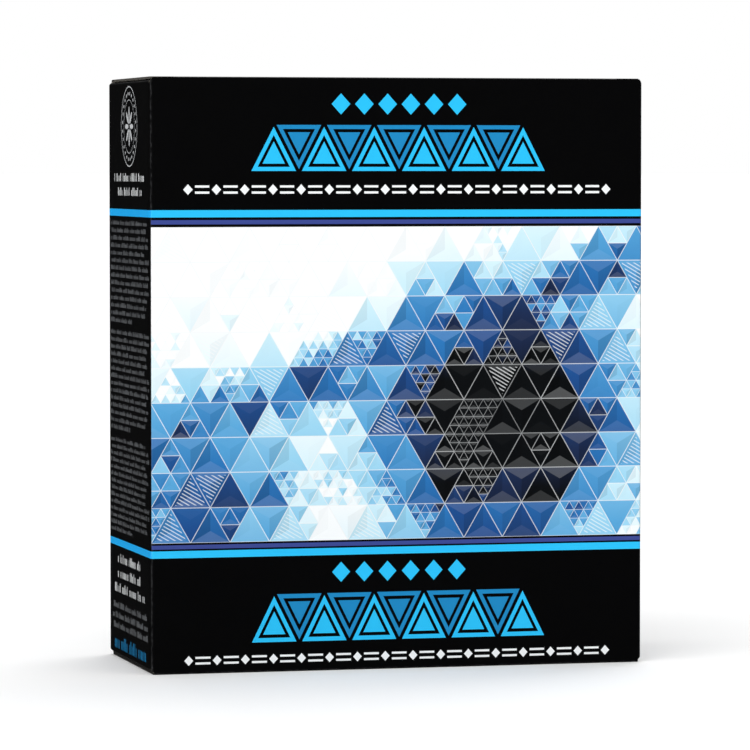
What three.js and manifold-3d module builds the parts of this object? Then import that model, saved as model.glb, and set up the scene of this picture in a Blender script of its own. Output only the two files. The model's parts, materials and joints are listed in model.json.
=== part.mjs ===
// A folding carton with a tuck-in lid, standing upright, closed and empty.
// Millimetres, +Z up. The origin is the middle of the base, the front panel faces -Y.
//
// The carton is one blank of board. Its fixed panels and glued bottom flaps are one solid, carton_body.
// Each flap that turns on a crease is a solid of its own, and half of the crease's bend lies on either side
// of a narrow gap.
import * as THREE from "three";
import { mergeVertices } from "three/addons/utils/BufferGeometryUtils.js";
import Module from "manifold-3d";

const wasm = await Module();
wasm.setup();

// Driving dimensions.
const WIDTH = 120;
const DEPTH = 50;
const HEIGHT = 140;
const BOARD = 0.5; // thickness of the board
const FOLD = 0.7; // outer radius of a fold
const GAP = 0.3; // clearance between flaps, and across a crease that turns
const GLUED_PITCH = BOARD - 0.05; // glued layers bite 0.05 mm into each other, so that they are one solid
const GLUE_FLAP = 13; // width of the glue flap inside the back panel
const FRONT_DROP = 0.2; // the front panel's raw edge is this far below the lid's top
const SEAM_INSET = 0.1; // the back panel's raw edge, from the carton's right side
const BASE_FLAP_INSET = 0.6; // the outer bottom flap's raw edge, from the back panel's outer face

const LID_INSET = 0.4; // the lid's side edges, from the side panels' outer faces
const EAR = 6; // the lid's flat ears: from each end of its front crease to the carton's side

const TUCK_DEPTH = 13;
const TUCK_SETBACK = 0.6; // the tuck flap's clearance behind the front panel
const TUCK_INSET = 0.8; // its side edges, from the side panels' inner faces
const TUCK_TAPER = 0.6; // it is this much narrower at its shoulders, on each side
const TUCK_SHOULDER = 2; // its shoulders, below the lid's top
const TUCK_RADIUS = 7; // its lower corners
const TUCK_LAP = 4; // its crease strip runs this far down into its sheet

const DUST_LENGTH = 38; // of a dust flap, from its crease to its tip
const DUST_INSET = 0.3; // its back edge, from the back fold
const DUST_STEP_AT = 5; // its front edge is straight for this far, and then steps back
const DUST_STEP = 2.5;
const DUST_TAPER_FRONT = 2; // it narrows by this much from the step to its tip
const DUST_TAPER_BACK = 4;
const DUST_RADIUS = 6; // the corners of its tip
const DUST_LAP = 3; // its crease strip runs this far into its sheet

const SMALL_RADIUS = 1; // of the flaps' small corners
const FOLD_LEG = 0.3; // an upright fold runs this far into the panels on both sides
const BEND_STEPS = 6; // facets in a quarter turn of a fold

// Worked out from them.
const HALF_W = WIDTH / 2;
const HALF_D = DEPTH / 2;
const FRONT_TOP = HEIGHT - FRONT_DROP;
const DUST_TOP = HEIGHT - BOARD - GAP; // outer face of the closed dust flaps
const TUCK_Y = -HALF_D + BOARD + TUCK_SETBACK; // outer face of the tuck flap
const STRIP_W = HALF_W - FOLD; // half width of the front and back panels between their folds
const STRIP_D = HALF_D - FOLD; // half width of the side panels between their folds
const SEAM_FOLD_Y = HALF_D - GLUED_PITCH - FOLD; // the right panel turns in here, under the back panel
const SLIT_X = HALF_W - EAR; // where the front crease ends and the slits start
const FLAP_FRONT = TUCK_Y + BOARD + GAP; // front edge of the dust flaps, behind the tuck flap
const LEFT_CREASE_X = -HALF_W + FOLD; // centre of the left dust flap's bend

const QUARTER = Math.PI / 2;
const UP = QUARTER;
const DOWN = -QUARTER;
const HALF_BEND = QUARTER / 2 - GAP / 2 / FOLD; // one side's share of a crease that turns

const X = new THREE.Vector3(1, 0, 0);
const Y = new THREE.Vector3(0, 1, 0);
const Z = new THREE.Vector3(0, 0, 1);
const PLANES = {
  XY: new THREE.Matrix4(), // outline in x and y, depth along +Z
  YZ: new THREE.Matrix4().makeBasis(Y, Z, X), // outline in y and z, depth along +X
  XZ: new THREE.Matrix4().makeBasis(X, Z, Y.clone().negate()), // outline in x and z, depth along -Y
};

// ---- Shapes ---------------------------------------------------------------------------------------

// The outline of a folded strip of board seen edge on. A pen follows the outer face, with the inner face
// on its left; a move is { straight: millimetres } or { bend: radians }, a left turn at the fold's radius.
function stripOutline([startU, startV], startHeading, moves) {
  const outer = [];
  const inner = [];
  let [u, v, heading] = [startU, startV, startHeading];
  const mark = () => {
    outer.push(new THREE.Vector2(u, v));
    inner.unshift(new THREE.Vector2(u - BOARD * Math.sin(heading), v + BOARD * Math.cos(heading)));
  };
  mark();
  for (const { straight = 0, bend = 0 } of moves) {
    u += straight * Math.cos(heading);
    v += straight * Math.sin(heading);
    const steps = Math.ceil((BEND_STEPS * bend) / QUARTER);
    const centre = [u - FOLD * Math.sin(heading), v + FOLD * Math.cos(heading)];
    for (let i = 0; i < steps; i++) {
      heading += bend / steps;
      u = centre[0] + FOLD * Math.sin(heading);
      v = centre[1] - FOLD * Math.cos(heading);
      mark();
    }
    if (straight) mark();
  }
  return new THREE.Shape([...outer, ...inner]);
}

// A closed outline with its corners rounded, from [u, v, radius] points.
function roundedOutline(corners) {
  const shape = new THREE.Shape();
  corners.forEach(([u, v, radius = 0], i) => {
    const corner = new THREE.Vector2(u, v);
    const [before, after] = [corners.at(i - 1), corners[(i + 1) % corners.length]].map(([a, b]) =>
      new THREE.Vector2(a, b).sub(corner).setLength(radius).add(corner),
    );
    if (i === 0) shape.moveTo(before.x, before.y);
    else shape.lineTo(before.x, before.y);
    if (radius) shape.quadraticCurveTo(u, v, after.x, after.y);
  });
  return shape;
}

// An outline in one of the PLANES, pushed from low to high along the axis that is square to it.
function extruded(shape, plane, low, high) {
  const geometry = new THREE.ExtrudeGeometry(shape, {
    depth: high - low,
    bevelEnabled: false,
    curveSegments: BEND_STEPS,
  });
  const start = plane === "XZ" ? -high : low;
  return geometry.translate(0, 0, start).applyMatrix4(PLANES[plane]);
}

// The same solid on the other side of the carton.
function mirroredX(geometry) {
  const flipped = (geometry.index ? geometry.toNonIndexed() : geometry.clone()).scale(-1, 1, 1);
  const { array } = flipped.getAttribute("position");
  for (let i = 0; i < array.length; i += 9) {
    const second = array.slice(i + 3, i + 6);
    array.copyWithin(i + 3, i + 6, i + 9);
    array.set(second, i + 6);
  }
  return flipped;
}

function toManifold(geometry) {
  const bare = new THREE.BufferGeometry().setAttribute("position", geometry.getAttribute("position"));
  if (geometry.index) bare.setIndex(geometry.index);
  const welded = mergeVertices(bare, 1e-5);
  return new wasm.Manifold(
    new wasm.Mesh({
      numProp: 3,
      vertProperties: new Float32Array(welded.getAttribute("position").array),
      triVerts: new Uint32Array(welded.index.array),
    }),
  );
}

function joined(...geometries) {
  const [first, ...rest] = geometries.map(toManifold);
  const { vertProperties, triVerts } = rest.reduce((sum, next) => sum.add(next), first).getMesh();
  return new THREE.BufferGeometry()
    .setAttribute("position", new THREE.BufferAttribute(vertProperties, 3))
    .setIndex(new THREE.BufferAttribute(triVerts, 1));
}

// Where a pen starts on a bend's outer face, at an angle round the bend's centre, and its heading there.
function onBend([centreU, centreV], angle) {
  return [[centreU + FOLD * Math.cos(angle), centreV + FOLD * Math.sin(angle)], angle + QUARTER];
}

// ---- Fixed panels ---------------------------------------------------------------------------------

// The front panel, and below it the outer bottom flap that the carton stands on.
function frontPanel() {
  const outline = stripOutline([-HALF_D, FRONT_TOP], DOWN, [
    { straight: FRONT_TOP - FOLD },
    { bend: QUARTER },
    { straight: DEPTH - FOLD - BASE_FLAP_INSET },
  ]);
  return extruded(outline, "YZ", -STRIP_W, STRIP_W);
}

// The back panel, with the inner bottom flap below it and the fixed half of the lid's crease at its top.
function backPanel() {
  const flapStart = -HALF_D + BOARD + GAP;
  const outline = stripOutline([flapStart, GLUED_PITCH], 0, [
    { straight: HALF_D - FOLD - flapStart },
    { bend: QUARTER },
    { straight: HEIGHT - FOLD - GLUED_PITCH - FOLD },
    { bend: HALF_BEND },
  ]);
  return extruded(outline, "YZ", -STRIP_W, STRIP_W);
}

// The back panel's edge at the glue seam: it runs on over the folded right panel and ends there, raw.
function seamEdge() {
  const outline = roundedOutline([
    [STRIP_W - SMALL_RADIUS, HALF_D - BOARD],
    [HALF_W - SEAM_INSET, HALF_D - BOARD],
    [HALF_W - SEAM_INSET, HALF_D],
    [STRIP_W - SMALL_RADIUS, HALF_D],
  ]);
  return extruded(outline, "XY", FOLD + GLUED_PITCH, HEIGHT - FOLD);
}

// The left panel, with its bottom dust flap and the fixed half of the top dust flap's crease.
function sidePanel(backEdge) {
  const [start, heading] = onBend([LEFT_CREASE_X, DUST_TOP - FOLD], Math.PI - HALF_BEND);
  const outline = stripOutline(start, heading, [
    { bend: HALF_BEND },
    { straight: DUST_TOP - FOLD - 2 * GLUED_PITCH - FOLD },
    { bend: QUARTER },
    { straight: DUST_LENGTH },
  ]);
  return extruded(outline, "XZ", -STRIP_D, backEdge);
}

// The upright fold between two panels, turned by quarter turns about the carton's axis from the front left.
function uprightFold(cornerX, cornerY, turns, low, high) {
  const outline = stripOutline([0, FOLD + FOLD_LEG], DOWN, [
    { straight: FOLD_LEG },
    { bend: QUARTER },
    { straight: FOLD_LEG },
  ]);
  return extruded(outline, "XY", low, high).rotateZ(turns * QUARTER).translate(cornerX, cornerY, 0);
}

// At the back right the side panel folds in under the back panel and ends in the glue flap.
function glueFlap(low, high) {
  const outline = stripOutline([HALF_W, SEAM_FOLD_Y - FOLD_LEG], UP, [
    { straight: FOLD_LEG },
    { bend: QUARTER },
    { straight: GLUE_FLAP },
  ]);
  return extruded(outline, "XY", low, high);
}

function cartonBody() {
  const sideTop = DUST_TOP - FOLD;
  return joined(
    frontPanel(),
    backPanel(),
    seamEdge(),
    sidePanel(STRIP_D),
    mirroredX(sidePanel(SEAM_FOLD_Y)),
    uprightFold(-HALF_W, -HALF_D, 0, FOLD, FRONT_TOP - GAP),
    uprightFold(HALF_W, -HALF_D, 1, FOLD, FRONT_TOP - GAP),
    uprightFold(-HALF_W, HALF_D, 3, FOLD + GLUED_PITCH, sideTop),
    glueFlap(FOLD + GLUED_PITCH + FOLD, sideTop),
  );
}

// ---- Flaps that turn ------------------------------------------------------------------------------

// The lid, from its half of the back crease to its half of the front one. Past the slits, at both ends of the
// front crease, it ends in flat ears that lock on the dust flaps.
function lidPanel() {
  const halfWidth = HALF_W - LID_INSET;
  const backCrease = [HALF_D - FOLD, HEIGHT - FOLD];
  const [start, heading] = onBend(backCrease, QUARTER - HALF_BEND);
  const top = [{ bend: HALF_BEND }, { straight: HALF_D - FOLD - (TUCK_Y + FOLD) }];
  const flat = stripOutline(start, heading, top);
  const bent = stripOutline(start, heading, [...top, { bend: HALF_BEND }]);
  return joined(extruded(flat, "YZ", -halfWidth, halfWidth), extruded(bent, "YZ", -SLIT_X, SLIT_X));
}

// The tuck flap, with its half of the lid's front crease. Its lower corners are rounded. Past the slits its
// shoulders are cut lower than the crease.
function tuckFlap() {
  const frontCrease = [TUCK_Y + FOLD, HEIGHT - FOLD];
  const [start, heading] = onBend(frontCrease, Math.PI - HALF_BEND);
  const strip = stripOutline(start, heading, [{ bend: HALF_BEND }, { straight: TUCK_LAP }]);
  const wide = HALF_W - BOARD - TUCK_INSET;
  const shoulder = HEIGHT - TUCK_SHOULDER;
  const tip = HEIGHT - TUCK_DEPTH;
  const sheet = roundedOutline([
    [-wide, tip, TUCK_RADIUS],
    [wide, tip, TUCK_RADIUS],
    [wide - TUCK_TAPER, shoulder, SMALL_RADIUS],
    [-wide + TUCK_TAPER, shoulder, SMALL_RADIUS],
  ]);
  return joined(
    extruded(strip, "YZ", -SLIT_X, SLIT_X),
    extruded(sheet, "XZ", TUCK_Y, TUCK_Y + BOARD),
  );
}

// The left dust flap: a straight front edge beside the tuck flap, a step that the lid's ear locks on, and a
// tapered tip with rounded corners.
function dustFlap() {
  const strip = stripOutline([LEFT_CREASE_X + DUST_LAP, DUST_TOP], Math.PI, [
    { straight: DUST_LAP },
    { bend: HALF_BEND },
  ]);
  const back = STRIP_D - DUST_INSET;
  const tip = LEFT_CREASE_X + DUST_LENGTH;
  const step = LEFT_CREASE_X + DUST_STEP_AT;
  const sheet = roundedOutline([
    [LEFT_CREASE_X, FLAP_FRONT],
    [step, FLAP_FRONT, SMALL_RADIUS],
    [step + DUST_STEP, FLAP_FRONT + DUST_STEP, SMALL_RADIUS],
    [tip, FLAP_FRONT + DUST_STEP + DUST_TAPER_FRONT, DUST_RADIUS],
    [tip, back - DUST_TAPER_BACK, DUST_RADIUS],
    [LEFT_CREASE_X + DUST_LAP, back],
    [LEFT_CREASE_X, back],
  ]);
  return joined(
    extruded(strip, "XZ", FLAP_FRONT, back),
    extruded(sheet, "XY", DUST_TOP - BOARD, DUST_TOP),
  );
}

// ---- Materials and scene --------------------------------------------------------------------------

const printedBoard = new THREE.MeshStandardMaterial({ color: 0x08090b, roughness: 0.45, metalness: 0 });
const bareBoard = new THREE.MeshStandardMaterial({ color: 0xd8d5cc, roughness: 0.85, metalness: 0 });

function piece(name, geometry, material) {
  const mesh = new THREE.Mesh(geometry, material);
  mesh.name = name;
  return mesh;
}

const carton = new THREE.Group();
carton.name = "folding_carton";
carton.add(
  piece("carton_body", cartonBody(), printedBoard),
  piece("lid", lidPanel(), printedBoard),
  piece("tuck_flap", tuckFlap(), printedBoard),
  piece("left_dust_flap", dustFlap(), bareBoard),
  piece("right_dust_flap", mirroredX(dustFlap()), bareBoard),
);

export default carton;
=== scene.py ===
"""A printed folding carton with a tuck-in lid: its board, its print and the light it stands in.

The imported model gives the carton's box and its creases. Each panel and flap of board is laid here as a
fine sheet, bent over the same folds, and given its thickness, so that the outside, the inside and the
raw edges show as what they are. Lengths are in millimetres until a mesh is made.
"""

import json
import math
from collections import namedtuple

import bpy
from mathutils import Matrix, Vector


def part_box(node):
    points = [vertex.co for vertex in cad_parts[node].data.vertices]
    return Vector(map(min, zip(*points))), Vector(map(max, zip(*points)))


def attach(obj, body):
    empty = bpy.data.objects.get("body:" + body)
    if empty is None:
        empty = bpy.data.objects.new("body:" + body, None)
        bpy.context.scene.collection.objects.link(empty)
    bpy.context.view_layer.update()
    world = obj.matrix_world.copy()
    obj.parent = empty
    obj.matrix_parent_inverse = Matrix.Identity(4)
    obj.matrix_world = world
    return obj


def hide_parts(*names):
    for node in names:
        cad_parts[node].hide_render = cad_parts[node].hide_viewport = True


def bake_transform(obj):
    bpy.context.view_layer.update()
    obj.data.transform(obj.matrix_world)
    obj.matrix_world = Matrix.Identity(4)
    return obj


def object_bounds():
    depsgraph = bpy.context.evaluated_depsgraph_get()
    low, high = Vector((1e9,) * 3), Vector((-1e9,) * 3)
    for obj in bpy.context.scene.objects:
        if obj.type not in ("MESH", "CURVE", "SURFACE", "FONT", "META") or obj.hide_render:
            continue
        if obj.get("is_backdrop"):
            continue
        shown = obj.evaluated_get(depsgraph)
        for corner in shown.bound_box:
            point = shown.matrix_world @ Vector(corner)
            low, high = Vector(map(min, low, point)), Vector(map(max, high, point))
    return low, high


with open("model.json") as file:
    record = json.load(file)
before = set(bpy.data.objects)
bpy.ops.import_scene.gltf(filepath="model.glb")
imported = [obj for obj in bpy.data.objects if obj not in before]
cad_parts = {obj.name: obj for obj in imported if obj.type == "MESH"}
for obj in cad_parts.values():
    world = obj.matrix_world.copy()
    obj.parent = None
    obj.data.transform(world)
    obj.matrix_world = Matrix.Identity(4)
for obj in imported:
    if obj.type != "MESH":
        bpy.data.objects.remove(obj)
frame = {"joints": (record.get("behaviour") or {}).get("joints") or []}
cad_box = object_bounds()

MM = 0.001
QUARTER = math.pi / 2
BOARD = 0.5  # thickness of the board
FOLD = 0.7  # outer radius of a fold
ARC = FOLD * QUARTER  # length of board in a quarter turn
LAYER = 0.45  # pitch of the glued layers at the base, a little less than the board


def in_mm(node):
    """A CAD node's lowest and highest corner, in millimetres."""
    return tuple(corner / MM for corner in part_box(node))


def joint_at(name):
    """A joint's place, in millimetres."""
    return Vector(next(joint for joint in frame["joints"] if joint["name"] == name)["pos_m"]) / MM


BODY_HIGH = in_mm("carton_body")[1]
LID_HIGH = in_mm("lid")[1]
TUCK_LOW, TUCK_HIGH = in_mm("tuck_flap")
DUST_LOW, DUST_HIGH = in_mm("left_dust_flap")
HALF_W, HALF_D = BODY_HIGH.x, BODY_HIGH.y
HEIGHT = LID_HIGH.z
LID_CREASE_Z = HEIGHT - FOLD  # centre of the lid's two bends
DUST_CREASE_Z = joint_at("left_dust_fold").z
TUCK_CREASE = joint_at("tuck_fold")

GLUE_FLAP = 13  # width of the flap inside the back panel
SEAM_INSET = 0.1  # the back panel's raw edge, from the carton's right side
OUTER_BASE_INSET = 0.6  # the outer bottom flap's raw edge, from the back panel's outer face
MIDDLE_BASE_INSET = 1.5  # the middle bottom flap's raw edge, from the front panel's outer face
SIDE_BASE_FLAP = 38  # length of the two inner bottom flaps

EAR = 6  # the lid's flat ears, from each end of its front crease to the carton's side
TUCK_SHOULDER = 2  # the tuck flap's shoulders, below the lid's top
TUCK_NECK = 0.4  # the strip between the slits keeps its width down to this far above the shoulders
TUCK_RADIUS = 7  # the tuck flap's lower corners

DUST_STEP_AT = 5  # a dust flap's front edge is straight for this far, and then steps back
DUST_STEP = 2.5
DUST_STRAIGHT = 3  # its back edge is straight for this far
DUST_TAPER_FRONT = 2  # it narrows by this much towards its tip
DUST_TAPER_BACK = 4
FLAP_RADIUS = 6  # the corners of its tip

PRINT_MAP = "print_mm"  # the UV map of each face's place in its print
CREASE = "crease"  # the attribute that is 1 in the middle of a bend

# How finely the sheets are laid.
BEND_STEPS = 8  # in a quarter turn
CORNER_STEPS = 8  # along a flap's rounded corner
WALL_ROWS = 28
FLAP_ROWS, FLAP_COLUMNS = 8, 16
TUCK_ROWS, TUCK_COLUMNS = 5, 20
DUST_ROWS = 14

# ---- Sheets of board --------------------------------------------------------------------------------

Station = namedtuple("Station", "at inward uv crease")  # a point of the outer face
Level = namedtuple("Level", "depth height turn v")  # a line along a panel


class Panel:
    """A plane that board is laid on.

    Its place s runs along it, to the right as seen from outside, and depth goes inwards. It is flat from
    -before to after, and at both ends its board turns inwards by bends, in degrees. tail is the length
    of flat board past the last bend.
    """

    def __init__(self, x, y, heading, before, after, bends=(45, 45), tail=0.0):
        angle = math.radians(heading)
        self.centre = Vector((x, y, 0))
        self.along = Vector((math.cos(angle), math.sin(angle), 0))
        self.inward = Vector((-math.sin(angle), math.cos(angle), 0))
        self.flat = (-before, after)
        self.bends = [math.radians(turn) for turn in bends]
        self.tail = tail

    def reach(self):
        """How far s runs at both ends, with the upright folds."""
        (low, high), (first, last) = self.flat, self.bends
        return low - FOLD * first, high + FOLD * last + self.tail

    def across(self, s):
        """Where the board is at s: how far along and how deep, how far its face is turned, and its crease."""
        low, high = self.flat
        edge, side, most = (low, -1, self.bends[0]) if s < 0 else (high, 1, self.bends[1])
        past = (s - edge) * side
        if past <= 0:
            return s, 0.0, 0.0, 0.0
        turn = min(past / FOLD, most)
        rest = past - FOLD * turn
        along = edge + side * (FOLD * math.sin(turn) + rest * math.cos(most))
        depth = FOLD * (1 - math.cos(turn)) + rest * math.sin(most)
        return along, depth, side * turn, crease_at(turn)

    def station(self, s, level, uv=None, bow=0.0):
        """The outer face's point at s on a level, sunk in by bow.

        Its print coordinates are uv, or else s and the level's v.
        """
        along, depth, turned, crease = self.across(s)
        face = self.inward * math.cos(turned) - self.along * math.sin(turned)
        inward = face * math.cos(level.turn) - Vector((0, 0, math.sin(level.turn)))
        at = self.centre + self.along * along + self.inward * (depth + level.depth + bow)
        at.z = level.height
        return Station(at, inward, uv or (s, level.v), max(crease, crease_at(abs(level.turn))))


def crease_at(turn):
    """1 in the middle of a quarter bend, 0 on flat board."""
    return max(0.0, 1 - abs(turn * 2 / QUARTER - 1))


def steps(low, high, count):
    """Evenly spaced numbers from low to high, both included."""
    return [low + (high - low) * i / count for i in range(count + 1)]


def bend(crease_z):
    """The levels of a quarter turn in over the top, from the panel on."""
    return [
        Level(FOLD * (1 - math.cos(turn)), crease_z + FOLD * math.sin(turn), turn, crease_z + FOLD * turn)
        for turn in steps(0, QUARTER, BEND_STEPS)
    ]


def top_flap(crease_z, length, rows=FLAP_ROWS):
    """The levels of a flap bent in over the top, from the panel to the flap's tip."""
    flat = [Level(FOLD + d, crease_z + FOLD, QUARTER, crease_z + ARC + d) for d in rounded(length, rows)]
    return bend(crease_z) + flat[1:]


def bottom_flap(crease_z, length):
    """The same below, from the flap's tip to the panel."""
    return [
        Level(level.depth, 2 * crease_z - level.height, -level.turn, 2 * crease_z - level.v)
        for level in reversed(top_flap(crease_z, length))
    ]


def rounded(length, rows, radius=FLAP_RADIUS):
    """Distances along a flap, closer together near its tip, where it may have rounded corners."""
    straight = length - radius
    turns = steps(0, QUARTER, CORNER_STEPS)[1:]
    return steps(0, straight, rows) + [straight + radius * math.sin(turn) for turn in turns]


def corner_cut(distance, length, radius=FLAP_RADIUS):
    """How far a flap's side is drawn in by its rounded corner, at a distance from its crease."""
    into = max(0.0, distance - (length - radius))
    return radius - math.sqrt(max(0.0, radius**2 - into**2))


class Sheet:
    """One piece of board. Its outer face is laid in grids; board() adds the inner face and the raw edges."""

    def __init__(self, name):
        self.name = name
        self.stations, self.index, self.quads = [], {}, []

    def vertex(self, station):
        """The number of the station, which is the same for all that are laid within a micrometre."""
        key = tuple(round(c, 3) for c in station.at)
        if key not in self.index:
            self.index[key] = len(self.stations)
            self.stations.append(station)
        return self.index[key]

    def lay(self, rows, ink):
        """Rows of stations, from the bottom up and from left to right as seen from outside."""
        for lower, upper in zip(rows, rows[1:]):
            for i in range(len(lower) - 1):
                corners = [lower[i], lower[i + 1], upper[i + 1], upper[i]]
                self.quads.append(([self.vertex(c) for c in corners], [c.uv for c in corners], ink))

    def flap(self, panel, levels, edges, ink, columns=FLAP_COLUMNS, uv=None):
        """A flap's levels, each laid between the two ends that edges(level) gives."""
        rows = []
        for level in levels:
            places = steps(*edges(level), columns)
            rows.append([panel.station(s, level, uv(s, level) if uv else None) for s in places])
        self.lay(rows, ink)

    def rim(self):
        """The outer face's outline: each edge that only one quad has, with its print coordinates."""
        found = {}
        for ids, uvs, _ in self.quads:
            ends = list(zip(ids, uvs))
            for (a, uv_a), (b, uv_b) in zip(ends, ends[1:] + ends[:1]):
                if a != b:
                    found.setdefault(frozenset((a, b)), []).append((a, b, uv_a, uv_b))
        return [lines[0] for lines in found.values() if len(lines) == 1]

    def faces(self, rim):
        """Each face's corners, their print coordinates and its ink: outside, inside and raw edges."""
        count = len(self.stations)
        faces = list(self.quads)
        for ids, uvs, _ in self.quads:
            faces.append(([i + count for i in reversed(ids)], uvs[::-1], "bare"))
        for a, b, uv_a, uv_b in rim:
            start, end = sum(uv_a), sum(uv_b)
            uvs = [(end, 0), (start, 0), (start, BOARD), (end, BOARD)]
            faces.append(([b, a, a + count, b + count], uvs, "raw_edge"))
        return faces

    def sharpen(self, mesh, rim):
        """Marks the lines where the raw edges meet the outer and the inner face."""
        count = len(self.stations)
        sharp = {frozenset((a + i, b + i)) for a, b, _, _ in rim for i in (0, count)}
        for line in mesh.edges:
            line.use_edge_sharp = frozenset(line.vertices) in sharp

    def board(self, tiles=None):
        """The finished mesh object. tiles are its inks' places in a baked image, if it has several."""
        rim = self.rim()
        faces = self.faces(rim)
        inks = sorted({ink for _, _, ink in faces})
        outer = [station.at * MM for station in self.stations]
        inner = [(station.at + station.inward * BOARD) * MM for station in self.stations]
        mesh = bpy.data.meshes.new(self.name)
        mesh.from_pydata(outer + inner, [], [ids for ids, _, _ in faces])
        for ink in inks:
            mesh.materials.append(MATERIALS[ink])
        for polygon, (_, _, ink) in zip(mesh.polygons, faces):
            polygon.material_index = inks.index(ink)
            polygon.use_smooth = True
        draw_map(mesh, PRINT_MAP, [uv for _, uvs, _ in faces for uv in uvs])
        if tiles:
            draw_map(mesh, "OFBake", tiled(faces, tiles))
        crease = mesh.attributes.new(CREASE, "FLOAT", "POINT")
        crease.data.foreach_set("value", [station.crease for station in self.stations] * 2)
        self.sharpen(mesh, rim)
        made = bpy.data.objects.new(self.name, mesh)
        bpy.context.scene.collection.objects.link(made)
        return made


def draw_map(mesh, name, uvs):
    """A UV map, from the coordinates of each face's corners in turn."""
    for corner, uv in zip(mesh.uv_layers.new(name=name).data, uvs):
        corner.uv = uv


# Where an export that bakes the sleeve's inks into one square image draws each: left, low, right, high.
SLEEVE_TILES = {
    "front_print": (0.0, 0.425, 0.5, 1.0),
    "back_print": (0.505, 0.425, 0.93, 1.0),
    "plain_print": (0.935, 0.425, 1.0, 1.0),
    "left_print": (0.0, 0.02, 0.24, 0.42),
    "right_print": (0.245, 0.02, 0.54, 0.42),
    "bleed_print": (0.545, 0.02, 0.66, 0.42),
    "bare": (0.665, 0.02, 1.0, 0.42),
    "raw_edge": (0.0, 0.0, 1.0, 0.014),
}


def tiled(faces, tiles):
    """Coordinates for such an export. Each ink fills its tile."""
    spans = {}
    for ink in tiles:
        places = [uv for _, uvs, worn in faces if worn == ink for uv in uvs]
        spans[ink] = [(min(axis), max(axis)) for axis in zip(*places)]
    for _, uvs, ink in faces:
        left, low, right, high = tiles[ink]
        (u_low, u_high), (v_low, v_high) = spans[ink]
        for u, v in uvs:
            across, up = (u - u_low) / (u_high - u_low), (v - v_low) / (v_high - v_low)
            yield left + across * (right - left), low + up * (high - low)


# ---- The carton -------------------------------------------------------------------------------------

STRIP_W, STRIP_D = HALF_W - FOLD, HALF_D - FOLD  # half widths of the panels between their folds
SEAM_FLAT = HALF_D - BOARD - FOLD  # the right panel starts to turn in here, under the back panel
FRONT = Panel(0, -HALF_D, 0, STRIP_W, STRIP_W)
RIGHT = Panel(HALF_W, 0, 90, STRIP_D, SEAM_FLAT, bends=(45, 90), tail=GLUE_FLAP)
BACK = Panel(0, HALF_D, 180, HALF_W - SEAM_INSET, STRIP_W, bends=(0, 45))
LEFT = Panel(-HALF_W, 0, 270, STRIP_D, STRIP_D)
TUCK = Panel(0, TUCK_LOW.y, 0, STRIP_W, STRIP_W)

# Heights of each panel's lowest and highest upright line, between its bends.
SIDE_LEVELS = (2 * LAYER + FOLD, DUST_CREASE_Z)
BACK_LEVELS = (LAYER + FOLD, LID_CREASE_Z)
FRONT_LEVELS = (FOLD, BODY_HIGH.z)

Wall = namedtuple("Wall", "columns bow")  # bow is how far a panel sinks in at its middle
WIDE, NARROW = Wall(24, 0.22), Wall(12, 0.11)


def wall_columns(panel, count):
    """Where a wall's columns stand: across its flat part, and round its share of the upright folds."""
    (reach_low, reach_high), (flat_low, flat_high) = panel.reach(), panel.flat
    places = steps(reach_low, flat_low, BEND_STEPS // 2)[:-1] if reach_low < flat_low else []
    places += steps(flat_low, flat_high, count)
    if not panel.tail:
        return places + steps(flat_high, reach_high, BEND_STEPS // 2)[1:]
    return places + steps(flat_high, reach_high - panel.tail, BEND_STEPS)[1:] + [reach_high]


def wall_ends(s, panel, levels, ends):
    """The heights between which a wall stands at s. Round its folds they run to those of its two ends."""
    for edge, reach, end in zip(panel.flat, panel.reach(), ends):
        if (s - edge) * (reach - edge) > 0:
            share = min(1.0, (s - edge) / (reach - edge))
            return [a + (b - a) * share for a, b in zip(levels, end)]
    return levels


def sunk(s, share, panel, bow):
    """How far a wall has sunk in at s and at a share of its height."""
    low, high = panel.flat
    off = min(1.0, abs(s - (low + high) / 2) / ((high - low) / 2))
    return bow * (1 - off**2) * (1 - (2 * share - 1) ** 2)


def wall(sheet, panel, levels, ends, ink, kind):
    """A panel with its share of the upright folds. ends are the levels at its first and its last column."""
    rows = []
    for share in steps(0, 1, WALL_ROWS):
        row = []
        for s in wall_columns(panel, kind.columns):
            low, high = wall_ends(s, panel, levels, ends)
            z = low + (high - low) * share
            row.append(panel.station(s, Level(0, z, 0, z), bow=sunk(s, share, panel, kind.bow)))
        rows.append(row)
    sheet.lay(rows, ink)


def between(one, other):
    """The levels halfway round a fold, between two panels."""
    return tuple((a + b) / 2 for a, b in zip(one, other))


def base_flap(sheet, panel, ends, crease_z, length, ink):
    """A glued bottom flap, laid between the two ends of its crease."""

    def edges(_):
        return ends

    sheet.flap(panel, bottom_flap(crease_z, length), edges, ink)


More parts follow.
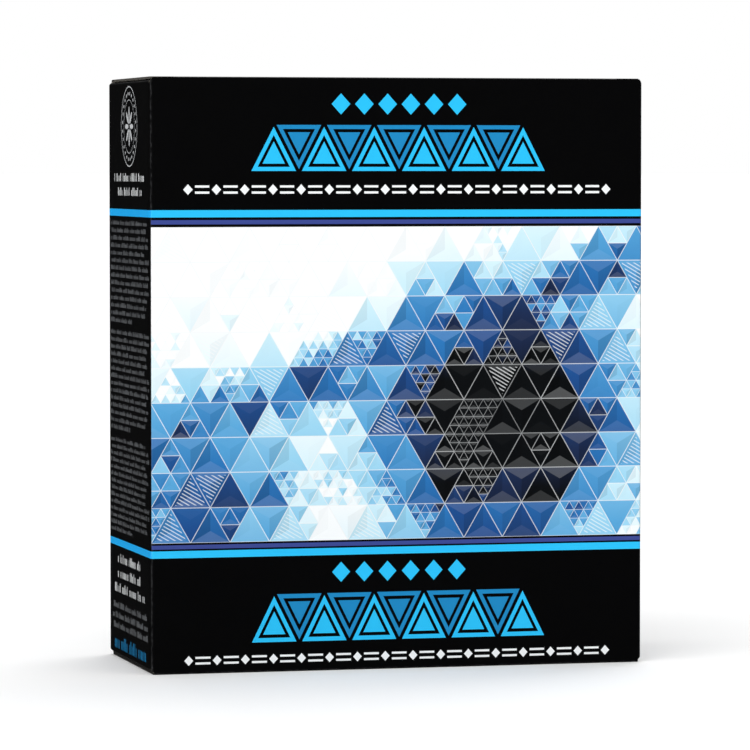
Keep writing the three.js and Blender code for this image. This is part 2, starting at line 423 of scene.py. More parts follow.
def carton_body():
    """The glued sleeve: four panels, the glue flap and three layers of bottom flaps."""
    sheet = Sheet("printed_sleeve")
    front_side, back_side = between(FRONT_LEVELS, SIDE_LEVELS), between(BACK_LEVELS, SIDE_LEVELS)
    wall(sheet, FRONT, FRONT_LEVELS, (front_side, front_side), "front_print", WIDE)
    wall(sheet, RIGHT, SIDE_LEVELS, (front_side, SIDE_LEVELS), "right_print", NARROW)
    wall(sheet, BACK, BACK_LEVELS, (BACK_LEVELS, back_side), "back_print", WIDE)
    wall(sheet, LEFT, SIDE_LEVELS, (back_side, front_side), "left_print", NARROW)
    through = 2 * HALF_D - FOLD  # from a bottom flap's bend to the opposite panel's outer face
    base_flap(sheet, FRONT, FRONT.flat, FOLD, through - OUTER_BASE_INSET, "plain_print")
    base_flap(sheet, BACK, (-STRIP_W, STRIP_W), LAYER + FOLD, through - MIDDLE_BASE_INSET, "bleed_print")
    for side in (RIGHT, LEFT):
        base_flap(sheet, side, side.flat, 2 * LAYER + FOLD, SIDE_BASE_FLAP, "bleed_print")
    return sheet.board(SLEEVE_TILES)


def lid():
    """The lid, with the whole of its back bend. Its front edge meets the tuck flap's bend."""
    sheet = Sheet("printed_lid")
    crease_y = HALF_D - FOLD

    def edges(level):
        half = STRIP_W if level.depth < FOLD else LID_HIGH.x
        return -half, half

    def uv(s, level):
        return -s, LID_CREASE_Z + ARC - level.v + crease_y

    levels = top_flap(LID_CREASE_Z, crease_y - TUCK_CREASE.y)
    sheet.flap(BACK, levels, edges, "lid_print", WIDE.columns, uv)
    return sheet.board()


def tuck_flap():
    """The tuck flap, with the lid's front bend between the two slits, and lower shoulders outside them."""
    sheet = Sheet("printed_tuck_flap")
    shoulder = HEIGHT - TUCK_SHOULDER
    crease_z = TUCK_CREASE.z
    length = crease_z - TUCK_LOW.z
    heights = [crease_z - distance for distance in rounded(length, TUCK_ROWS, TUCK_RADIUS)]
    heights[1] = shoulder + TUCK_NECK  # the foot of the slits
    levels = [Level(0, z, 0, z) for z in reversed(heights)] + bend(crease_z)[1:]

    def edges(level):
        half = HALF_W - EAR
        if level.height <= shoulder:
            half = TUCK_HIGH.x - corner_cut(crease_z - level.height, length, TUCK_RADIUS)
        return -half, half

    sheet.flap(TUCK, levels, edges, "plain_print", TUCK_COLUMNS)
    return sheet.board()


def dust_flap(name, panel, front):
    """A dust flap with its whole bend. front is 1 where the panel's s runs forwards, and -1 on the other."""
    sheet = Sheet(name)
    length = DUST_HIGH.x + HALF_W - FOLD

    def edges(level):
        distance = max(0.0, level.depth - FOLD)
        cut = corner_cut(distance, length)
        step = min(DUST_STEP, max(0.0, distance - DUST_STEP_AT))
        past_step = max(0.0, distance - DUST_STEP_AT - DUST_STEP)
        past_straight = max(0.0, distance - DUST_STRAIGHT)
        to_front = -DUST_LOW.y - step - DUST_TAPER_FRONT * past_step / length - cut
        to_back = DUST_HIGH.y - DUST_TAPER_BACK * past_straight / length - cut
        return (-to_back, to_front) if front > 0 else (-to_front, to_back)

    sheet.flap(panel, top_flap(DUST_CREASE_Z, length, DUST_ROWS), edges, "bleed_print")
    return sheet.board()


# ---- Nodes ------------------------------------------------------------------------------------------


class Value:
    """A number that a material works out at each point, so that a pattern can be written as a formula."""

    def __init__(self, tree, socket):
        self.tree, self.socket = tree, socket

    def work(self, operation, *others):
        """The result of a Math node that is fed this value and the others."""
        node = self.tree.nodes.new("ShaderNodeMath")
        node.operation = operation
        for socket, given in zip(node.inputs, (self, *others)):
            feed(self.tree, given, socket)
        return Value(self.tree, node.outputs[0])

    def __add__(self, other):
        return self.work("ADD", other)

    def __sub__(self, other):
        return self.work("SUBTRACT", other)

    def __mul__(self, other):
        return self.work("MULTIPLY", other)

    def __truediv__(self, other):
        return self.work("DIVIDE", other)

    def __lt__(self, other):
        return self.work("LESS_THAN", other)

    def __gt__(self, other):
        return self.work("GREATER_THAN", other)

    def __abs__(self):
        return self.work("ABSOLUTE")

    __radd__ = __add__

    def __rsub__(self, other):
        return self * -1 + other

    def squared(self):
        return self * self

    def floor(self):
        return self.work("FLOOR")

    def fract(self):
        return self.work("FRACT")

    def sqrt(self):
        return self.work("SQRT")

    def either(self, other):
        return self.work("MAXIMUM", other)

    def least(self, other):
        return self.work("MINIMUM", other)

    def clamped(self):
        node = self.tree.nodes.new("ShaderNodeClamp")
        feed(self.tree, self, node.inputs["Value"])
        return Value(self.tree, node.outputs[0])


def feed(tree, given, socket):
    """Links a Value or a socket, or sets a number or a colour."""
    if isinstance(given, Value):
        tree.links.new(given.socket, socket)
    elif isinstance(given, bpy.types.NodeSocket):
        tree.links.new(given, socket)
    else:
        socket.default_value = given


def within(value, low, high):
    """1 where the value is between low and high."""
    return abs(value - (low + high) / 2) < (high - low) / 2


def random(tree, *numbers):
    """A random Value from 0 to 1 that is the same wherever the given numbers are.

    Draws at the same place are kept apart by a number of their own that is added to one of these.
    """
    join = tree.nodes.new("ShaderNodeCombineXYZ")
    for socket, number in zip(join.inputs, numbers):
        feed(tree, number, socket)
    node = tree.nodes.new("ShaderNodeTexWhiteNoise")
    tree.links.new(join.outputs[0], node.inputs["Vector"])
    return Value(tree, node.outputs["Value"])


def noise(tree, u, v, scale, detail=2.0):
    """A soft random Value. Its scale is per millimetre."""
    join = tree.nodes.new("ShaderNodeCombineXYZ")
    feed(tree, u, join.inputs[0])
    feed(tree, v, join.inputs[1])
    node = tree.nodes.new("ShaderNodeTexNoise")
    node.inputs["Scale"].default_value = scale
    node.inputs["Detail"].default_value = detail
    tree.links.new(join.outputs[0], node.inputs["Vector"])
    return Value(tree, node.outputs["Fac"])


MIX_FACTOR, MIX_LOW, MIX_HIGH, MIX_RESULT = 0, 6, 7, 2  # a Mix node's sockets for colours
NEW_RAMP_STOPS = 2  # a new colour ramp has this many already


def mixed(tree, share, low, high):
    """A colour: low where share is 0, high where it is 1."""
    node = tree.nodes.new("ShaderNodeMix")
    node.data_type = "RGBA"
    feed(tree, share, node.inputs[MIX_FACTOR])
    feed(tree, low, node.inputs[MIX_LOW])
    feed(tree, high, node.inputs[MIX_HIGH])
    return node.outputs[MIX_RESULT]


def ramp(tree, value, stops, smooth=False):
    """A colour for each value from 0 to 1, from (position, colour) stops."""
    node = tree.nodes.new("ShaderNodeValToRGB")
    ends = node.color_ramp
    ends.interpolation = "LINEAR" if smooth else "CONSTANT"
    for i, (position, colour) in enumerate(stops):
        stop = ends.elements[i] if i < NEW_RAMP_STOPS else ends.elements.new(position)
        stop.position = position
        stop.color = colour
    feed(tree, value, node.inputs[0])
    return node.outputs[0]


def srgb(code):
    """A linear colour from a hexadecimal screen colour."""
    parts = [(code >> shift & 255) / 255 for shift in (16, 8, 0)]
    return (*(p / 12.92 if p <= 0.04045 else ((p + 0.055) / 1.055) ** 2.4 for p in parts), 1.0)


# ---- Patterns ---------------------------------------------------------------------------------------
#
# A mask is 1 where its ink is printed. u runs to the right from the middle of a panel and v up from the
# carton's base. A pattern that is given half its width lies evenly about the middle.

SLIM = 1.1  # height of a lozenge over its width
HALF_A_TRIANGLE = 0.5
TRIANGLE = math.sqrt(3) / 2  # height of an equilateral triangle over its side


def triangles(p, q):
    """A grid of triangles: column, row, 1 in the ones that point down, distance to the edge, and facet.

    The facet is -1, 0 or 1, by which of the three edges is the nearest.
    """
    column, row = p.floor(), q.floor()
    f, g = p - column, q - row
    down = (f + g) > 1
    to_left, to_base = f + down * (1 - f * 2), g + down * (1 - g * 2)
    edge = to_left.least(to_base).least(abs(1 - f - g))
    return column, row, down, edge, (to_left > edge) - (to_base > edge)


PENNANT_GAP = 0.038  # half the gap between two, over a band's height
PENNANT_INLINE = (0.12, 0.185)  # where the black line inside each starts and ends


def pennants(u, v, half, low, high, count):
    """A band of triangles, count of them pointing up. Gives the mask of those, and of the ones between."""
    side, rise = 2 * half / count, high - low
    q = (v - low) / rise
    column, _, down, edge, _ = triangles((u + half) / side - q * HALF_A_TRIANGLE, q)
    solid = (edge > PENNANT_GAP) * within(v, low, high) * (1 - within(edge, *PENNANT_INLINE))
    up = solid * (1 - down) * within(column, -0.5, count - 0.5)
    return up, solid * down * within(column, -0.5, count - 1.5)


BAR_HEIGHTS = (0.36, 0.78)  # of the rule's half height
BAR_OFF = 1.35  # from a lozenge's middle to where the bars start, over the rule's half height
RULE_TRIM = 0.28  # of the pitch, cut off at both ends


def rule(u, v, half, low, high, count):
    """A fine line of small lozenges with a pair of short bars between each two."""
    pitch = 2 * half / count
    off = abs(((u + half) / pitch).fract() - 0.5) * pitch
    rise = abs(v - (low + high) / 2)
    top = (high - low) / 2
    bars = within(rise, top * BAR_HEIGHTS[0], top * BAR_HEIGHTS[1]) * (off > top * BAR_OFF)
    return ((off * SLIM + rise) < top).either(bars) * (abs(u) < half - pitch * RULE_TRIM)


def lozenges(u, v, half, low, high, count):
    """A row of lozenges."""
    pitch = 2 * half / count
    off = abs(((u + half) / pitch).fract() - 0.5) * pitch
    return ((off * SLIM + abs(v - (low + high) / 2)) < (high - low) / 2) * (abs(u) < half)


RING, INNER_RING = 0.13, 0.07  # half the line widths of the rosette's rings
INNER_RADIUS, BEAD_RADIUS, PETAL_REACH, HUB = 0.66, 0.82, 0.62, 0.1  # over the rosette's radius
BEADS = 24
BEAD_SIZE = 0.17  # a bead's radius, squared
PETAL_GAP = 0.2


def rosette(u, v, centre_v, radius):
    """An emblem's place: two rings with beads between them, round a flower of eight petals."""
    y = v - centre_v
    far = (u.squared() + y.squared()).sqrt()
    angle = y.work("ARCTAN2", u)
    rings = (abs(far - radius + RING) < RING).either(abs(far - radius * INNER_RADIUS) < INNER_RING)
    along = ((angle * BEADS / math.tau).fract() - 0.5) * far * math.tau / BEADS
    beads = (along.squared() + (far - radius * BEAD_RADIUS).squared()) < BEAD_SIZE
    petal = abs((angle * 4).work("COSINE")) - PETAL_GAP
    petals = (far < petal * radius * PETAL_REACH) * (far > radius * HUB)
    return rings.either(beads).either(petals)


Box = namedtuple("Box", "left right low high")
Text = namedtuple("Text", "cell bold ragged")  # pitch of the blocks, and their least half width in cells
GROUP = 6  # cells to a group, of which one is blank
BLANKS = 3  # the blank is one of a group's last three cells
WIDER = 0.13  # in cells, by which a block's half width varies
BLOCK_FOOT, BLOCK_TOP, TALLER = 0.2, 0.62, 0.18  # of a line's height
TALL_ABOVE = 0.6  # a block is a tall one where its draw is above this
LAST_LINE_CUT = 0.4  # of a ragged text's last line


def blocks(tree, u, v, box, rows, text, seed):
    """Rows of small plain blocks of two heights, in groups of three to seven.

    A ragged text's lines end fewer than text.ragged blocks early, and its last line is a short one.
    """
    along, up = (u - box.left) / text.cell, (v - box.low) / ((box.high - box.low) / rows)
    column, row = along.floor(), up.floor()
    line = up - row
    width = random(tree, column, row, seed + 3.0) * WIDER + text.bold
    top = BLOCK_TOP + (random(tree, column, row, seed + 7.0) > TALL_ABOVE) * TALLER
    shifted = column + (random(tree, row, seed, 9.0) * GROUP).floor()
    group = (shifted / GROUP).floor()
    blank = (random(tree, group, row, seed) * BLANKS).floor() + (GROUP - BLANKS)
    kept = abs(shifted - group * GROUP - blank) > 0.5
    count = math.floor((box.right - box.left) / text.cell)
    end = count - (random(tree, row, seed, 5.0) * text.ragged).floor() - 0.5
    if text.ragged:
        end = end - (row < 0.5) * math.floor(count * LAST_LINE_CUT)
    inside = (column > -0.5) * (column < end) * within(v, box.low, box.high)
    return kept * (abs(along - column - 0.5) < width) * (line > BLOCK_FOOT) * (line < top) * inside


# ---- Print ------------------------------------------------------------------------------------------

BLACK = srgb(0x050506)
SOFT_BLACK = srgb(0x08080A)
CYAN = srgb(0x27C3FA)
DEEP_CYAN = srgb(0x1789C4)
# the stripes' cyan painted darker for the side panels: painted shade
SHADED_SIDE_CYAN = srgb(0x14AEF6)
INDIGO = srgb(0x3B4A93)
WHITE = srgb(0xF4F7F8)
PALE_GREY = srgb(0xC6C9CB)
GREY = srgb(0x6A6D70)

# Heights of the printed bands, from the base up.
ART_LOW, ART_HIGH = 30.84, 104.82
CYAN_STRIPES = ((27.32, 29.01), (107.1, 108.8))
INDIGO_STRIPES = ((29.42, 30.37), (105.46, 106.48))


def striped(tree, v, *sets):
    """Black, with stripes from (heights, colour) sets."""
    ink = BLACK
    for heights, colour in sets:
        for low, high in heights:
            ink = mixed(tree, within(v, low, high), ink, colour)
    return ink


ART_ROWS = 9
ART_TONES = [  # from light to dark
    (0.0, srgb(0xFFFFFF)),
    (0.18, srgb(0xFAFEFF)),
    (0.31, srgb(0xD2F1FB)),
    (0.44, srgb(0x9AD6F2)),
    (0.56, srgb(0x57A7DB)),
    (0.68, srgb(0x2877BB)),
    (0.79, srgb(0x184D90)),
    (0.89, srgb(0x1A2C52)),
    (0.97, srgb(0x0C0F12)),
]
# The mosaic's areas. Each has a tone at its middle, its place, and the length over which the tone falls by 1.
Field = namedtuple("Field", "tone u v fade")
DARK_FIELD = Field(1.52, 25, 59, 33)
BLUE_FIELD = Field(0.9, -46, 42, 44)
RIDGE_TONE, RIDGE_V, RIDGE_SLOPE, RIDGE_FADE = 0.8, 76, 0.36, 19
GROUND_TONE, GROUND_FADE = 0.34, 210
TONE_SPREAD = 0.32  # from triangle to triangle
TOP_LIGHT = 0.05  # each triangle is lighter towards its top
IN_FOUR, IN_SIXTEEN = 0.6, 0.86  # a triangle is parted so where its draw is above these
HATCHED = (0.47, 0.56)  # and hatched where it is between these
HATCH_PITCH, HATCH_INSET = 0.8, 0.6
HATCH_LINE, HATCH_SHARE = 0.32, 0.6  # the line over the pitch, and its strength
FACET_LIGHT, FACET_SHADE = 0.09, 0.45  # the most white and black that a facet takes
JOINT, JOINT_THINNING = 0.12, 0.015  # half the white line between triangles, and how much finer ones thin it
JOINT_SHARE, JOINT_FADE = 0.95, 0.5  # the line's strength, and how much of it a dark tone takes


def field(u, v, place):
    """The tone of a round area, darkest at its middle."""
    return place.tone - ((u - place.u).squared() + (v - place.v).squared()).sqrt() / place.fade


def art_tone(u, v):
    """The mosaic's tone: dark at the right, blue at the lower left, with a ridge across a pale ground."""
    ridge = RIDGE_TONE - abs((v - RIDGE_V) - u * RIDGE_SLOPE) / RIDGE_FADE
    ground = GROUND_TONE - (v - ART_LOW) / GROUND_FADE
    return field(u, v, DARK_FIELD).either(field(u, v, BLUE_FIELD)).either(ridge).either(ground)


def faceted(tree, ink, facet, relief):
    """The ink of a triangle with one of its three facets lit and one shaded."""
    lit = mixed(tree, (facet > 0.5) * relief * FACET_LIGHT, ink, WHITE)
    return mixed(tree, (facet < -0.5) * relief * FACET_SHADE, lit, BLACK)


def artwork(tree, u, v):
    """The picture's place: a mosaic of faceted triangles, some parted in finer ones and some hatched."""
    rise = (ART_HIGH - ART_LOW) / ART_ROWS
    side = rise / TRIANGLE
    q = (v - ART_LOW) / rise
    p = (u + HALF_W) / side - q * HALF_A_TRIANGLE
    column, row, down, _, _ = triangles(p, q)
    pick = random(tree, column, row, down + 3)
    finer = 1 + (pick > IN_FOUR) + (pick > IN_SIXTEEN) * 2
    column, row, down, edge, facet = triangles(p * finer, q * finer)
    edge = edge * rise / finer
    third = (1 + down) / 3  # from the corner of a triangle's cell to its own middle
    middle_q = (row + third) / finer
    middle_v = middle_q * rise + ART_LOW
    middle_u = ((column + third) / finer + middle_q * HALF_A_TRIANGLE) * side - HALF_W
    tone = art_tone(middle_u, middle_v) + (random(tree, column, row, down) - 0.5) * TONE_SPREAD
    shaded = tone - (v - middle_v) / rise * TOP_LIGHT
    ink = ramp(tree, shaded.clamped(), ART_TONES, smooth=True)
    ink = faceted(tree, ink, facet, tone.clamped() * random(tree, column, row, down + 6))
    hatch = ((u * HALF_A_TRIANGLE + v * TRIANGLE) / HATCH_PITCH).fract() < HATCH_LINE
    hatch = hatch * within(pick, *HATCHED) * (edge > HATCH_INSET) * HATCH_SHARE
    joint = (edge < JOINT - finer * JOINT_THINNING) * (JOINT_SHARE - tone * JOINT_FADE)
    return mixed(tree, joint, mixed(tree, hatch, ink, WHITE), WHITE)


Title = namedtuple("Title", "row band rule")  # heights of its lozenges, its triangles and its rule
UPPER_TITLE = Title(row=(131.2, 136.2), band=(117.5, 129.2), rule=(112.35, 114.85))
LOWER_TITLE = Title(row=(20.9, 25.7), band=(6.6, 18.8), rule=(1.95, 4.3))
BAND_HALF, BAND_COUNT = 36.5, 6
ROW_HALF, ROW_COUNT = 17, 6
RULE_HALF, RULE_COUNT = 54.4, 16


def titled(tree, u, v, ink, title):
    """A title's place: a band of triangles, and a rule below it."""
    up, others = pennants(u, v, BAND_HALF, *title.band, BAND_COUNT)
    ink = mixed(tree, up, ink, CYAN)
    ink = mixed(tree, others, ink, DEEP_CYAN)
    return mixed(tree, rule(u, v, RULE_HALF, *title.rule, RULE_COUNT), ink, WHITE)


def front_print(tree, u, v):
    ink = striped(tree, v, (CYAN_STRIPES, CYAN), (INDIGO_STRIPES, INDIGO))
    ink = mixed(tree, within(v, ART_LOW, ART_HIGH), ink, artwork(tree, u, v))
    for title in (UPPER_TITLE, LOWER_TITLE):
        ink = titled(tree, u, v, ink, title)
        ink = mixed(tree, lozenges(u, v, ROW_HALF, *title.row, ROW_COUNT), ink, CYAN)
    return ink


EMBLEM_V, EMBLEM_RADIUS = 128.5, 9.6
HEADING = Text(cell=1.45, bold=0.11, ragged=0)
SMALL_PRINT = Text(cell=1.15, bold=0.2, ragged=5)
NOTE = Text(cell=1.15, bold=0.23, ragged=0)
FOOT_LINE = Text(cell=1.6, bold=0.12, ragged=0)
SIDE_HEADINGS = (  # half width, low and high
    (18.5, 114.8, 118.0),
    (15.5, 111.4, 114.6),
    (15.2, 22.6, 26.2),
    (15.2, 19.0, 22.6),
    (18.8, 15.4, 19.0),
)
SIDE_PARAGRAPHS = ((81.1, 106.4), (55.2, 80.0), (30.5, 53.9))
PARAGRAPH_HALF, PARAGRAPH_ROWS = 23, 14
NOTE_BOX, NOTE_ROWS = Box(-21.4, 21.4, 6.8, 14.15), 3
FOOT_BOX = Box(-20.8, 20.8, 1.4, 6.4)


def side_print(tree, u, v, seed):
    """A side panel: an emblem, headings, three paragraphs, a note and a last line."""
    # the side's stripes in the darker cyan, which is painted shade
    ink = striped(tree, v, (CYAN_STRIPES, SHADED_SIDE_CYAN))
    ink = mixed(tree, rosette(u, v, EMBLEM_V, EMBLEM_RADIUS), ink, PALE_GREY)
    for half, low, high in SIDE_HEADINGS:
        heading = blocks(tree, u, v, Box(-half, half, low, high), 1, HEADING, seed + low)
        ink = mixed(tree, heading, ink, WHITE)
    for low, high in SIDE_PARAGRAPHS:
        box = Box(-PARAGRAPH_HALF, PARAGRAPH_HALF, low, high)
        ink = mixed(tree, blocks(tree, u, v, box, PARAGRAPH_ROWS, SMALL_PRINT, seed + low), ink, GREY)
    ink = mixed(tree, blocks(tree, u, v, NOTE_BOX, NOTE_ROWS, NOTE, seed + 12), ink, GREY)
    return mixed(tree, blocks(tree, u, v, FOOT_BOX, 1, FOOT_LINE, seed + 13), ink, DEEP_CYAN)


def left_print(tree, u, v):
    return side_print(tree, u, v, seed=31.0)


def right_print(tree, u, v):
    return side_print(tree, u, v, seed=57.0)


BACK_TEXT = SMALL_PRINT._replace(ragged=7)
BACK_COLUMNS = ((-54, 21.0), (3, 22.0))  # left edge and seed
BACK_COLUMN_WIDTH = 51
BACK_PARAGRAPHS = ((87.0, 100.5, 7), (63.5, 84.6, 11), (36.0, 61.0, 13))  # low, high and rows
BACK_ROW, BACK_ROW_HALF, BACK_ROW_COUNT = (12.0, 17.0), 34, 10


def back_print(tree, u, v):
    ink = striped(tree, v, (CYAN_STRIPES, CYAN), (INDIGO_STRIPES, INDIGO))
    ink = titled(tree, u, v, ink, UPPER_TITLE)
    for left, seed in BACK_COLUMNS:
        for low, high, rows in BACK_PARAGRAPHS:
            box = Box(left, left + BACK_COLUMN_WIDTH, low, high)
            ink = mixed(tree, blocks(tree, u, v, box, rows, BACK_TEXT, seed + low), ink, GREY)
    return mixed(tree, lozenges(u, v, BACK_ROW_HALF, *BACK_ROW, BACK_ROW_COUNT), ink, CYAN)


LID_BAND, LID_BAND_HALF, LID_BAND_COUNT = (-4, 4), 24, 6
LID_LINE, LID_LINE_HALF = (10.2, 11.2), 52


def lid_print(tree, u, v):
    """u runs along the width and v from the front to the back, both from the lid's middle."""
    up, others = pennants(u, v, LID_BAND_HALF, *LID_BAND, LID_BAND_COUNT)
    ink = mixed(tree, up, BLACK, CYAN)
    ink = mixed(tree, others, ink, DEEP_CYAN)
    return mixed(tree, within(abs(v), *LID_LINE) * (abs(u) < LID_LINE_HALF), ink, CYAN)


BLEED, BLEED_WAVE = 8, 0.5  # how far the black runs past a crease, and how unevenly


def bleed_print(tree, u, v):
    """A flap that ends up hidden: the black runs a little way past its crease, and the rest is bare board."""
    reach = noise(tree, u, 0.0, scale=0.4) * BLEED_WAVE + HEIGHT / 2 + BLEED
    return mixed(tree, abs(v - HEIGHT / 2) < reach, fibres(tree, u, v), BLACK)


def plain_print(tree, u, v):
    """Black, faintly cloudy."""
    return mixed(tree, noise(tree, u, v, scale=0.05), BLACK, SOFT_BLACK)


# ---- Board ------------------------------------------------------------------------------------------

BARE_GREY, BARE_PALE = srgb(0xB9B4AA), srgb(0xC4C0B6)
FLECK = srgb(0x8C867B)
FLECK_FROM, FLECK_SLOPE, FLECK_SHARE = 0.62, 6, 0.5
FIBRE_U, FIBRE_V = 0.6, 2.2  # fibres are longer along u
# the grey that print at the folds is lightened to: partly rub wear, partly a painted highlight along the fold
RUB_AND_HIGHLIGHT = srgb(0x77777A)
# the darker grey of bare board in a crease: partly painted shade, partly the score of compressed board
SHADED_SCORE, SHADED_SCORE_SHARE = srgb(0x8A857B), 0.4
EDGE_LAYERS = [(0.0, srgb(0x121213)), (0.14, srgb(0x32302F)), (0.86, srgb(0x494643))]
EDGE_SPECK, SPECK_U, SPECK_V, SPECK_SHARE = srgb(0x242322), 3, 6, 0.5


def fibres(tree, u, v):
    """The grey of unprinted board, with short fibres and flecks in it."""
    base = mixed(tree, noise(tree, u, v, scale=0.35, detail=4.0), BARE_GREY, BARE_PALE)
    fleck = noise(tree, u * FIBRE_U, v * FIBRE_V, scale=3.2)
    return mixed(tree, ((fleck - FLECK_FROM) * FLECK_SLOPE).clamped() * FLECK_SHARE, base, FLECK)


def raw_edge(tree, u, v):
    """A cut edge: the printed liner, the grey core and the paler inner liner, with darker specks."""
    layers = ramp(tree, v / BOARD, EDGE_LAYERS)
    specks = noise(tree, u * SPECK_U, v * SPECK_V, scale=1.0) * SPECK_SHARE
    return mixed(tree, specks, layers, EDGE_SPECK)


Finish = namedtuple("Finish", "roughness specular grain printed")  # grain is its depth in millimetres
PRINTED = Finish(roughness=0.38, specular=0.16, grain=0.006, printed=True)
BARE = Finish(roughness=0.85, specular=0.2, grain=0.02, printed=False)
CUT = Finish(roughness=0.9, specular=0.2, grain=0.02, printed=False)
GLOSS_SPREAD = 0.1  # how much the roughness varies
RUB_HIGHLIGHT_PATCH, RUB_HIGHLIGHT_CONTRAST = 0.4, 2.5  # where the noise starts to lighten the print, as rub wear and painted highlight, and how sharply
RUB_HIGHLIGHT_FROM, RUB_HIGHLIGHT_SLOPE = 0.35, 0.5  # from how far into a crease, and how strongly
BROAD_GRAIN = 2  # the broad grain's height over the fine one's


def worn(tree, u, v, colour, printed):
    """The colour with its folds: print is lightened in patches, partly rub wear and partly a painted
    highlight, and bare board is darker in the crease, partly painted shade and partly the compressed score.
    """
    attribute = tree.nodes.new("ShaderNodeAttribute")
    attribute.attribute_name = CREASE
    crease = Value(tree, attribute.outputs["Fac"])
    if not printed:
        # painted shade in the crease, with the darker score of compressed board
        return mixed(tree, crease * SHADED_SCORE_SHARE, colour, SHADED_SCORE)
    # print lightened at the folds in noisy patches: partly rub wear, partly a painted highlight
    patches = ((noise(tree, u, v, scale=0.9, detail=3.0) - RUB_HIGHLIGHT_PATCH) * RUB_HIGHLIGHT_CONTRAST).clamped()
    return mixed(tree, patches * ((crease - RUB_HIGHLIGHT_FROM) * RUB_HIGHLIGHT_SLOPE).clamped(), colour, RUB_AND_HIGHLIGHT)


def grained(tree, u, v, depth):
    """The normal of board with a fine and a broad grain."""
    fine = noise(tree, u, v, scale=3.0, detail=4.0)
    broad = noise(tree, u, v, scale=0.22)
    bump = tree.nodes.new("ShaderNodeBump")
    bump.inputs["Distance"].default_value = depth * MM
    bump.inputs["Strength"].default_value = 1.0
    feed(tree, fine + broad * BROAD_GRAIN, bump.inputs["Height"])
    return bump.outputs[0]


def board_material(name, colour_of, finish):
    """A material whose colour is colour_of(tree, u, v), with the board's wear and painted highlight and shade
    at its folds, and its grain.
    """
    material = bpy.data.materials.new(name)
    material.use_nodes = True
    tree = material.node_tree
    shader = tree.nodes["Principled BSDF"]
    place = tree.nodes.new("ShaderNodeUVMap")
    place.uv_map = PRINT_MAP
    split = tree.nodes.new("ShaderNodeSeparateXYZ")
    tree.links.new(place.outputs[0], split.inputs[0])
    u, v = Value(tree, split.outputs[0]), Value(tree, split.outputs[1])
    # the folds get rub wear, with a painted highlight on print and painted shade on bare board
    colour = worn(tree, u, v, colour_of(tree, u, v), finish.printed)
    gloss = (noise(tree, u, v, scale=0.16, detail=3.0) - 0.5) * GLOSS_SPREAD + finish.roughness
    feed(tree, colour, shader.inputs["Base Color"])
    feed(tree, gloss, shader.inputs["Roughness"])
    feed(tree, grained(tree, u, v, finish.grain), shader.inputs["Normal"])
    shader.inputs["Specular IOR Level"].default_value = finish.specular
    return material


MATERIALS = {
    "front_print": board_material("front_print", front_print, PRINTED),
    "left_print": board_material("left_print", left_print, PRINTED),
    "right_print": board_material("right_print", right_print, PRINTED),
    "back_print": board_material("back_print", back_print, PRINTED),
    "lid_print": board_material("lid_print", lid_print, PRINTED),
    "plain_print": board_material("plain_print", plain_print, PRINTED),
    "bleed_print": board_material("bleed_print", bleed_print, PRINTED),
    "bare": board_material("bare_board", fibres, BARE),
    "raw_edge": board_material("raw_edge", raw_edge, CUT),
}

# ---- Scene ------------------------------------------------------------------------------------------

CAMERA_AT = Vector((-279, -1096.3, 119.2))
CAMERA_YAW, CAMERA_PITCH = 14.3, 2.56  # degrees to the right of +Y, and down
LENS, SENSOR = 224.8, 36  # millimetres

AMBIENT = 0.08  # strength of the white world as a light
MIRRORED = 0.02  # and in reflections
LIGHT_DISTANCE = 2  # in metres
LIGHTS = (  # name, azimuth, elevation, strength, spread in degrees, and whether gloss mirrors it
    ("key", -36, 42, 1.1, 50, True),
    ("fill", 30, 20, 0.7, 70, False),
    ("left", -88, 14, 0.8, 60, False),
    ("top", 0, 88, 1.5, 80, True),
    ("back", 150, 48, 1.2, 50, True),
)

FLOOR_RADIUS = 60  # in metres, so that no edge shows
FLOOR_SIDES = 128
FLOOR_COLOUR = srgb(0xF8F8F8)
FLOOR_ROUGHNESS, FLOOR_SPECULAR = 0.9, 0.1


def place_carton():
    """The five pieces of board, each in its CAD node's place, with the sleeve on the carton's body."""
    body = carton_body()
    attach(body, "carton")
    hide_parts("carton_body")

    top = lid()
    crease = Vector((0, HALF_D, LID_CREASE_Z)) * MM
    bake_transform(top)
    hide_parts("lid")

    tuck = tuck_flap()
    crease = Vector((0, TUCK_LOW.y, TUCK_CREASE.z)) * MM
    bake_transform(tuck)
    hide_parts("tuck_flap")

    for name, panel, side in (("left_dust_flap", LEFT, -1), ("right_dust_flap", RIGHT, 1)):
        flap = dust_flap("board_" + name, panel, -side)
        crease = Vector((side * HALF_W, 0, DUST_CREASE_Z)) * MM
        crease + Vector((-side * FOLD, 0, FOLD)) * MM
        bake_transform(flap)
        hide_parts(name)


def camera():
    """A long lens, a little to the carton's left and just below the height of its top."""
    data = bpy.data.cameras.new("camera")
    data.sensor_width = SENSOR
    data.lens = LENS
    made = bpy.data.objects.new("camera", data)
    made.location = CAMERA_AT * MM
    yaw, pitch = math.radians(CAMERA_YAW), math.radians(CAMERA_PITCH)
    look = Vector((math.sin(yaw) * math.cos(pitch), math.cos(yaw) * math.cos(pitch), -math.sin(pitch)))
    made.rotation_euler = look.to_track_quat("-Z", "Y").to_euler()
    bpy.context.scene.collection.objects.link(made)
    bpy.context.scene.camera = made


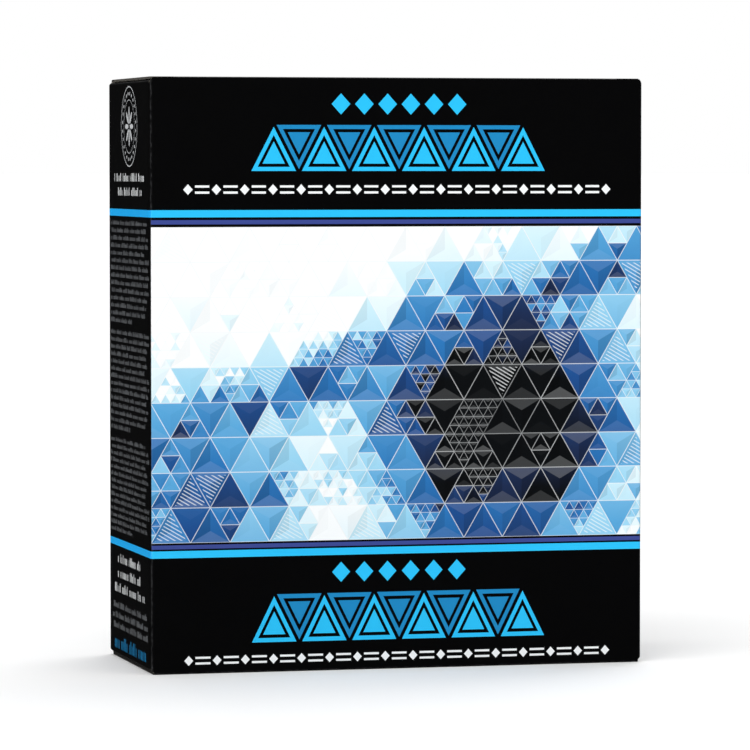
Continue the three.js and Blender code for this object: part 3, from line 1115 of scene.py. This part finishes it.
def soft_light(name, azimuth, elevation, strength, spread, mirrored):
    """A large soft light, far off, that shines on the carton from the given side. Azimuth 0 is the front."""
    data = bpy.data.lights.new(name, "SUN")
    data.energy = strength
    data.angle = math.radians(spread)
    made = bpy.data.objects.new(name, data)
    made.visible_glossy = mirrored
    turn, lift = math.radians(azimuth), math.radians(elevation)
    place = Vector((math.sin(turn) * math.cos(lift), -math.cos(turn) * math.cos(lift), math.sin(lift)))
    made.location = place * LIGHT_DISTANCE
    made.rotation_euler = (-place).to_track_quat("-Z", "Y").to_euler()
    bpy.context.scene.collection.objects.link(made)


def white_room():
    """A world that is white where it is looked at, dim as a light, and dimmer still in reflections."""
    world = bpy.data.worlds.new("studio")
    world.use_nodes = True
    tree = world.node_tree
    background = tree.nodes["Background"]
    path = tree.nodes.new("ShaderNodeLightPath")
    seen, mirrored = (Value(tree, path.outputs[f"Is {kind} Ray"]) for kind in ("Camera", "Glossy"))
    strength = seen * (1.0 - AMBIENT) + mirrored * (MIRRORED - AMBIENT) + AMBIENT
    feed(tree, strength, background.inputs["Strength"])
    background.inputs["Color"].default_value = (1, 1, 1, 1)
    bpy.context.scene.world = world


def studio_floor():
    """A pale floor that the carton's gloss doesn't mirror."""
    bpy.ops.mesh.primitive_circle_add(vertices=FLOOR_SIDES, radius=FLOOR_RADIUS, fill_type="NGON")
    floor = bpy.context.object
    floor.name = "floor"
    floor.visible_glossy = False
    material = bpy.data.materials.new("floor")
    material.use_nodes = True
    shader = material.node_tree.nodes["Principled BSDF"]
    shader.inputs["Base Color"].default_value = FLOOR_COLOUR
    shader.inputs["Roughness"].default_value = FLOOR_ROUGHNESS
    shader.inputs["Specular IOR Level"].default_value = FLOOR_SPECULAR
    floor.data.materials.append(material)
    floor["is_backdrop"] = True


def studio():
    studio_floor()
    for light in LIGHTS:
        soft_light(*light)
    white_room()
    bpy.context.scene.view_settings.view_transform = "Standard"


place_carton()
camera()
studio()

boxes = {"cad": cad_box, "visual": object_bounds()}
{name: [list(corner) for corner in box] for name, box in boxes.items()}
